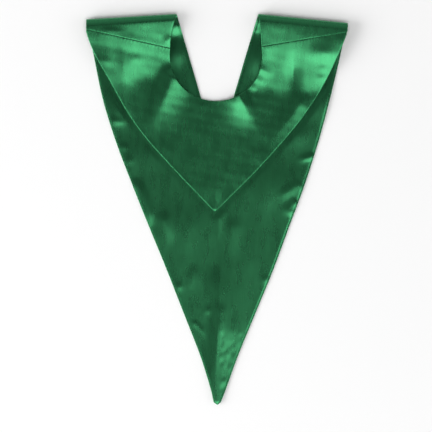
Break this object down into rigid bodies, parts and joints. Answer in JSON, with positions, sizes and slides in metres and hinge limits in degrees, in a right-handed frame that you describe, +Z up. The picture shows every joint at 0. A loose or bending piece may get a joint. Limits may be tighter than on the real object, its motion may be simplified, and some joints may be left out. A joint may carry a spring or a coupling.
{
  "type": "choir stole laid flat",
  "caption": "Satin choir stole laid flat: a long lined front panel folded over at the shoulders, with a short pointed back panel lying on it and an open neckline.",
  "frame": {"origin": "on the surface that the stole lies on, under the middle of its outline's box", "axes": "+Y from the front panel's point towards the shoulder fold, +X across the shoulders, +Z up from the surface"},
  "size_m": [0.6102, 0.9144, 0.022],
  "materials": {
    "satin": "green satin with a strong soft sheen",
    "satin_lining": "green satin lining with a soft sheen"
  },
  "bodies": {
    "root": {"front_panel": "satin", "front_lining": "satin_lining", "back_panel": "satin"}
  },
  "joints": []
}
